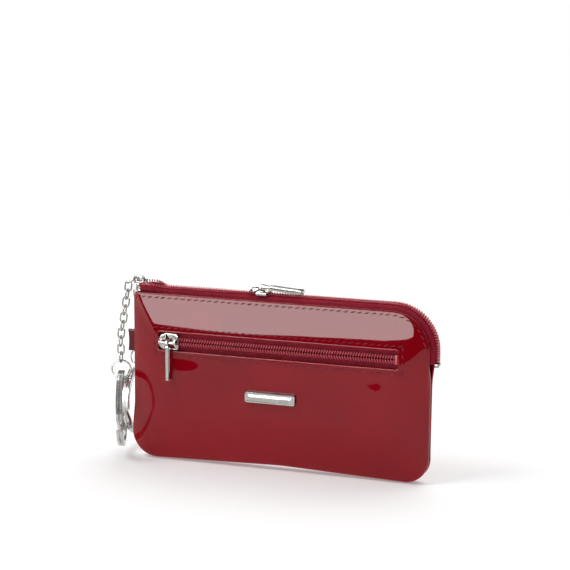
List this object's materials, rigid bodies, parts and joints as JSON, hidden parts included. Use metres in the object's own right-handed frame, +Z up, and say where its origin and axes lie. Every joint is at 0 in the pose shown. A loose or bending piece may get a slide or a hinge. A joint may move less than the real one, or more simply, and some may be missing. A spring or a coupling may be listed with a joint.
{
  "type": "zip key wallet",
  "caption": "Red patent leather zip wallet for keys: round-cornered pouch with a top zip, a zipped front pocket, a side loop and chains that carry split key rings.",
  "frame": {"origin": "on the floor plane under the middle of the pouch, between its front and back panels", "axes": "+X along the pouch from the chains to the rounded zip corner, +Y from the front panel to the back, +Z up"},
  "size_m": [0.1641, 0.0513, 0.0886],
  "materials": {
    "patent_leather": "patent gloss",
    "leather_trim": "patent gloss",
    "lining_cloth": "woven",
    "zip_tape": "woven tape",
    "zip_coil": "nylon coil",
    "thread": "polyester thread",
    "nickel": "polished nickel plate",
    "ring_steel": "polished nickel plate"
  },
  "bodies": {
    "pouch": {"front_panel": "patent_leather", "back_panel": "patent_leather", "front_lining": "lining_cloth", "back_lining": "lining_cloth", "pocket_bag_front": "lining_cloth", "pocket_bag_back": "lining_cloth", "main_tape_front": "zip_tape", "main_tape_back": "zip_tape", "main_coil_front": "zip_coil", "main_coil_back": "zip_coil", "main_left_stops": "nickel", "main_right_stop": "nickel", "pocket_tape_upper": "zip_tape", "pocket_tape_lower": "zip_tape", "pocket_coil_upper": "zip_coil", "pocket_coil_lower": "zip_coil", "pocket_left_stops": "nickel", "pocket_right_stop": "zip_coil", "side_loop": "leather_trim", "front_plaque": "nickel", "anchor_tab": "leather_trim", "anchor_ring": "nickel", "chain_a_inner": "nickel", "chain_b_inner": "nickel", "stitches_front": "thread", "stitches_back": "thread", "stitches_pocket": "thread"},
    "main_slider": {"main_slider": "nickel"},
    "main_pull": {"main_pull": "nickel"},
    "pocket_slider": {"pocket_slider": "nickel"},
    "pocket_pull": {"pocket_pull": "nickel"},
    "chain_a_upper": {"chain_a_upper": "nickel"},
    "chain_a_lower": {"chain_a_lower": "nickel"},
    "jump_ring_a": {"jump_ring_a": "ring_steel"},
    "split_ring_a": {"split_ring_a": "ring_steel"},
    "chain_b_upper": {"chain_b_upper": "nickel"},
    "chain_b_lower": {"chain_b_lower": "nickel"},
    "jump_ring_b": {"jump_ring_b": "ring_steel"},
    "split_ring_b": {"split_ring_b": "ring_steel"}
  },
  "joints": [
    {"name": "main_zip_slide", "type": "slide", "parent": "pouch", "child": "main_slider", "axis": [1, 0, 0], "range_m": [-0.04, 0.058]},
    {"name": "main_pull_hinge", "type": "hinge", "parent": "main_slider", "child": "main_pull", "pos_m": [-0.0105, 0, 0.0861], "axis": [0, -1, 0], "range_deg": [0, 170]},
    {"name": "pocket_zip_slide", "type": "slide", "parent": "pouch", "child": "pocket_slider", "axis": [1, 0, 0], "range_m": [0, 0.106]},
    {"name": "pocket_pull_hinge", "type": "hinge", "parent": "pocket_slider", "child": "pocket_pull", "pos_m": [-0.0538, -0.0103, 0.0587], "axis": [-1, 0, 0], "range_deg": [0, 150]},
    {"name": "chain_a_swing", "type": "hinge", "parent": "pouch", "child": "chain_a_upper", "pos_m": [-0.07703, -0.00205, 0.08409], "axis": [0, 1, 0], "range_deg": [0, 75]},
    {"name": "chain_a_bend", "type": "hinge", "parent": "chain_a_upper", "child": "chain_a_lower", "pos_m": [-0.0814, -0.002, 0.05698], "axis": [-1, 0, 0], "range_deg": [0, 50]},
    {"name": "jump_ring_a_swing", "type": "hinge", "parent": "chain_a_lower", "child": "jump_ring_a", "pos_m": [-0.0813, -0.002, 0.04527], "axis": [0, 1, 0], "range_deg": [0, 50]},
    {"name": "split_ring_a_swing", "type": "hinge", "parent": "jump_ring_a", "child": "split_ring_a", "pos_m": [-0.0813, -0.002, 0.03739], "axis": [0.9426, 0.3338, 0], "range_deg": [-23, 38]},
    {"name": "chain_b_swing", "type": "hinge", "parent": "pouch", "child": "chain_b_upper", "pos_m": [-0.07743, 0.00881, 0.08245], "axis": [1, 0, 0], "range_deg": [0, 33]},
    {"name": "chain_b_bend", "type": "hinge", "parent": "chain_b_upper", "child": "chain_b_lower", "pos_m": [-0.07853, 0.01352, 0.0593], "axis": [1, 0, 0], "range_deg": [0, 45]},
    {"name": "jump_ring_b_swing", "type": "hinge", "parent": "chain_b_lower", "child": "jump_ring_b", "pos_m": [-0.0785, 0.0134, 0.04861], "axis": [1, 0, 0], "range_deg": [0, 40]},
    {"name": "split_ring_b_swing", "type": "hinge", "parent": "jump_ring_b", "child": "split_ring_b", "pos_m": [-0.0785, 0.0134, 0.03971], "axis": [1, 0, 0], "range_deg": [0, 60]}
  ]
}
